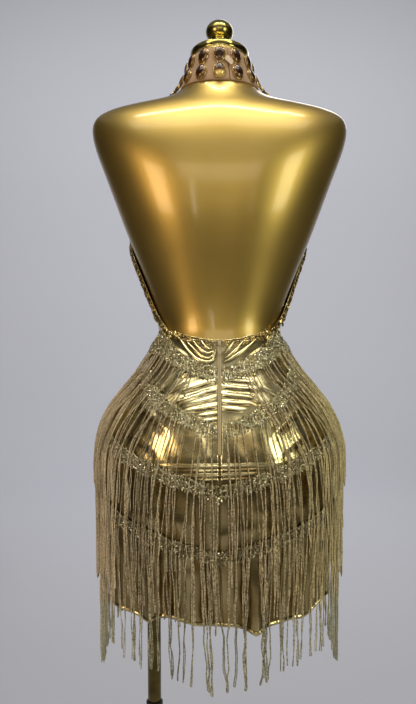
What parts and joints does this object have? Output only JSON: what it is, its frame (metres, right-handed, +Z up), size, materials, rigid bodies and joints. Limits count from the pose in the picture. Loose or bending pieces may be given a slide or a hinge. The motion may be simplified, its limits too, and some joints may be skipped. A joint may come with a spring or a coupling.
{
  "type": "fringed backless halter party dress on a limbless dress form with stand",
  "caption": "Short backless halter party dress in gold lame with zigzag sequin bands and long fringe, worn on a glossy limbless dress form on a pole stand.",
  "frame": {"origin": "centre of the round base plate's underside, on the floor", "axes": "+Z up; -Y towards the back of the dress, with the open back and the zip; +Y towards its front; +X towards the wearer's right"},
  "size_m": [0.401, 0.35, 1.5433],
  "materials": {
    "form_gold": "moulded shell with a glossy antique gold lacquer",
    "brass": "polished brass plate",
    "lame_gold": "shiny foil-coated stretch lame, light gold",
    "sequin_silver": "silver and pale gold sequins sewn in dense scrolls",
    "fringe_gold": "chain-stitched metallic thread fringe, dull gold",
    "bead_gold": "small gold beads and braid",
    "nude_mesh": "fine nude stretch mesh",
    "stone_amber": "faceted amber-gold stone in a bright gold setting",
    "zip_metal": "small coated zip slider and pull",
    "bush_black": "black moulded bush"
  },
  "bodies": {
    "dress_on_form": {"bodice_front": "lame_gold", "collar_band": "nude_mesh", "collar_tab": "nude_mesh", "edge_trim_left": "bead_gold", "edge_trim_right": "bead_gold", "form_torso": "form_gold", "fringe_tier_1": "fringe_gold", "fringe_tier_2": "fringe_gold", "fringe_tier_3": "fringe_gold", "fringe_tier_4": "fringe_gold", "neck_cap": "brass", "neck_finial": "brass", "skirt_back_left": "lame_gold", "skirt_back_right": "lame_gold", "skirt_front": "lame_gold", "stand_base": "brass", "stand_bush": "bush_black", "stand_flange": "brass", "stand_lower_pole": "brass", "stand_upper_pole": "brass", "stone_drop_01": "stone_amber", "stone_drop_02": "stone_amber", "stone_drop_03": "stone_amber", "stone_drop_04": "stone_amber", "stone_drop_05": "stone_amber", "stone_drop_06": "stone_amber", "stone_drop_07": "stone_amber", "stone_drop_08": "stone_amber", "stone_drop_09": "stone_amber", "stone_drop_10": "stone_amber", "stone_drop_11": "stone_amber", "stone_drop_12": "stone_amber", "stone_drop_13": "stone_amber", "stone_oval_01": "stone_amber", "stone_oval_02": "stone_amber", "stone_oval_03": "stone_amber", "stone_oval_04": "stone_amber", "stone_oval_05": "stone_amber", "stone_oval_06": "stone_amber", "stone_oval_07": "stone_amber", "stone_oval_08": "stone_amber", "stone_oval_09": "stone_amber", "stone_oval_10": "stone_amber", "stone_oval_11": "stone_amber", "stone_oval_12": "stone_amber", "stone_oval_13": "stone_amber", "waist_trim_left": "bead_gold", "waist_trim_right": "bead_gold", "zip_slider": "zip_metal", "zip_tape": "nude_mesh"},
    "pull_tab": {"zip_pull_tab": "zip_metal"}
  },
  "joints": [
    {"name": "pull_tab_hinge", "type": "hinge", "parent": "dress_on_form", "child": "pull_tab", "pos_m": [0, -0.09178, 1.0377], "axis": [-1, 0, 0], "range_deg": [0, 150]}
  ]
}
